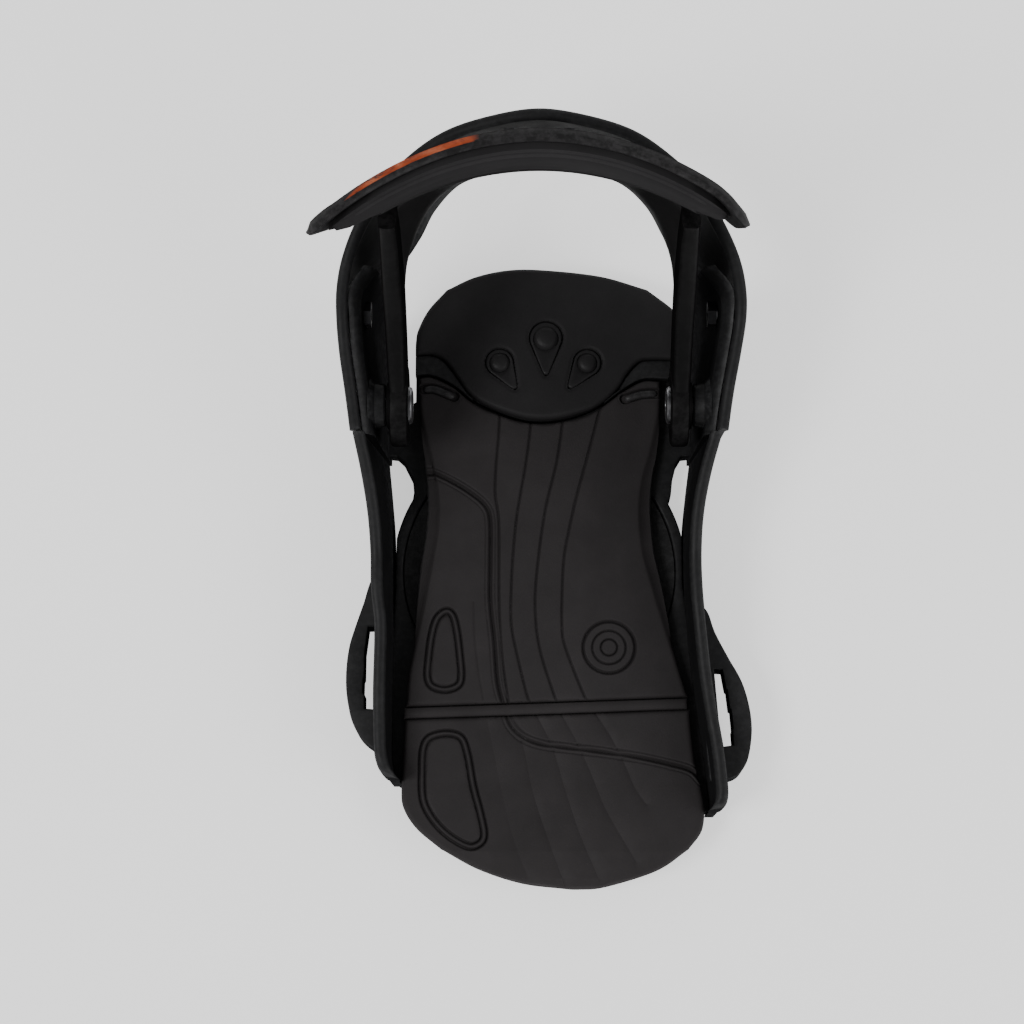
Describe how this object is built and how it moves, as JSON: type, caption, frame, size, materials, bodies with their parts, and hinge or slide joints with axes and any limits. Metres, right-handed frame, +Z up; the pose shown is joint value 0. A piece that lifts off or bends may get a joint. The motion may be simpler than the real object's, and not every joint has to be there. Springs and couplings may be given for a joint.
{
  "type": "snowboard binding",
  "caption": "Right-foot strap-style snowboard binding without straps: waisted base with rails, mounting disc, foam footbed, heel hoop and folding highback.",
  "frame": {"origin": "centre of the mounting disc on the underside that rests on the board", "axes": "+Z up from the board, +Y towards the heel, +X towards the medial side of the right foot"},
  "size_m": [0.1543, 0.276, 0.25],
  "materials": {
    "nylon": "satin moulded nylon",
    "hoop_nylon": "satin moulded nylon",
    "highback_nylon": "satin moulded nylon with a worn orange rim",
    "disc_nylon": "matte moulded nylon",
    "foam": "matte moulded foam",
    "heel_foam": "matte moulded foam",
    "gel": "satin rubber",
    "steel": "zinc plated"
  },
  "bodies": {
    "base": {"base_plate": "nylon", "toe_ramp": "nylon", "toe_pad": "foam", "crease_strip": "gel", "heel_pad": "heel_foam", "heel_gel_centre": "gel", "heel_gel_left": "gel", "heel_gel_right": "gel", "heel_hoop": "hoop_nylon", "pivot_bolt_left": "steel", "pivot_bolt_right": "steel", "pivot_nut_left": "steel", "pivot_nut_right": "steel", "hoop_bolt_left": "steel", "hoop_bolt_right": "steel", "hoop_nut_left": "steel", "hoop_nut_right": "steel"},
    "disc": {"mounting_disc": "disc_nylon"},
    "footbed": {"footbed_tray": "nylon", "footbed_pad": "foam"},
    "highback": {"highback_shell": "highback_nylon", "highback_pad": "heel_foam"},
    "lean_block": {"lean_block": "nylon", "lever_pin": "steel"},
    "lean_lever": {"lean_lever": "nylon"}
  },
  "joints": [
    {"name": "disc_turn", "type": "hinge", "parent": "base", "child": "disc", "pos_m": [0, 0, 0.004], "axis": [0, 0, 1], "continuous": true},
    {"name": "footbed_flip", "type": "hinge", "parent": "base", "child": "footbed", "pos_m": [0, -0.0517, 0.0165], "axis": [0.9994, 0.0349, 0], "range_deg": [0, 95]},
    {"name": "highback_fold", "type": "hinge", "parent": "base", "child": "highback", "pos_m": [0, 0.056, 0.05], "axis": [-1, 0, 0], "range_deg": [-88, 0]},
    {"name": "lean_slide", "type": "slide", "parent": "highback", "child": "lean_block", "axis": [0, -0.2489, 0.9685], "range_m": [0, 0.02]},
    {"name": "lean_lever", "type": "hinge", "parent": "lean_block", "child": "lean_lever", "pos_m": [0, 0.13459, 0.13319], "axis": [1, 0, 0], "range_deg": [0, 100]}
  ]
}
